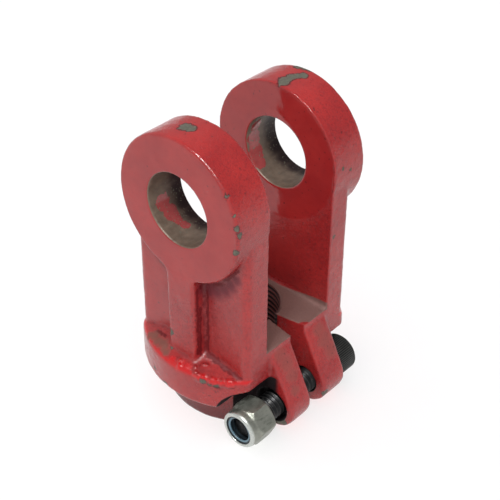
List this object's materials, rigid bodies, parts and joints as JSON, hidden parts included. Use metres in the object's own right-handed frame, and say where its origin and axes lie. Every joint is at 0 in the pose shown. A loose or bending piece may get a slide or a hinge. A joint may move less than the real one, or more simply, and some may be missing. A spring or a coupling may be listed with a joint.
{
  "type": "clamp-type rod end clevis",
  "caption": "Forked rod end with a pin bore through both eyes and a split, threaded base that a cross screw and lock nut clamp on a rod.",
  "frame": {"origin": "centre of the pin bore, midway between the two eyes", "axes": "+Y along the pin, towards the clamp screw's head; +Z away from the rod; +X towards the clamp lugs"},
  "size_m": [0.0634, 0.072, 0.1135],
  "materials": {
    "red_enamel_casting": "gloss enamel over a cast surface",
    "black_oxide_steel": "oiled black oxide",
    "zinc_plated_steel": "dull zinc plate",
    "nylon": "matte bluish nylon"
  },
  "bodies": {
    "yoke": {"yoke": "red_enamel_casting"},
    "screw": {"clamp_screw": "black_oxide_steel"},
    "nut": {"lock_nut": "zinc_plated_steel", "nut_insert": "nylon"}
  },
  "joints": [
    {"name": "clamp_screw_spin", "type": "hinge", "parent": "yoke", "child": "screw", "pos_m": [0.0262, 0, -0.0783], "axis": [0, -1, 0], "range_deg": [-1440, 1335]},
    {"name": "lock_nut_travel", "type": "slide", "parent": "yoke", "child": "nut", "axis": [0, 1, 0], "range_m": [-0.0064, 0.0059]}
  ],
  "couplings": [
    {"joint": "lock_nut_travel", "follows": "clamp_screw_spin", "m_per_rad": 0.00025266}
  ]
}
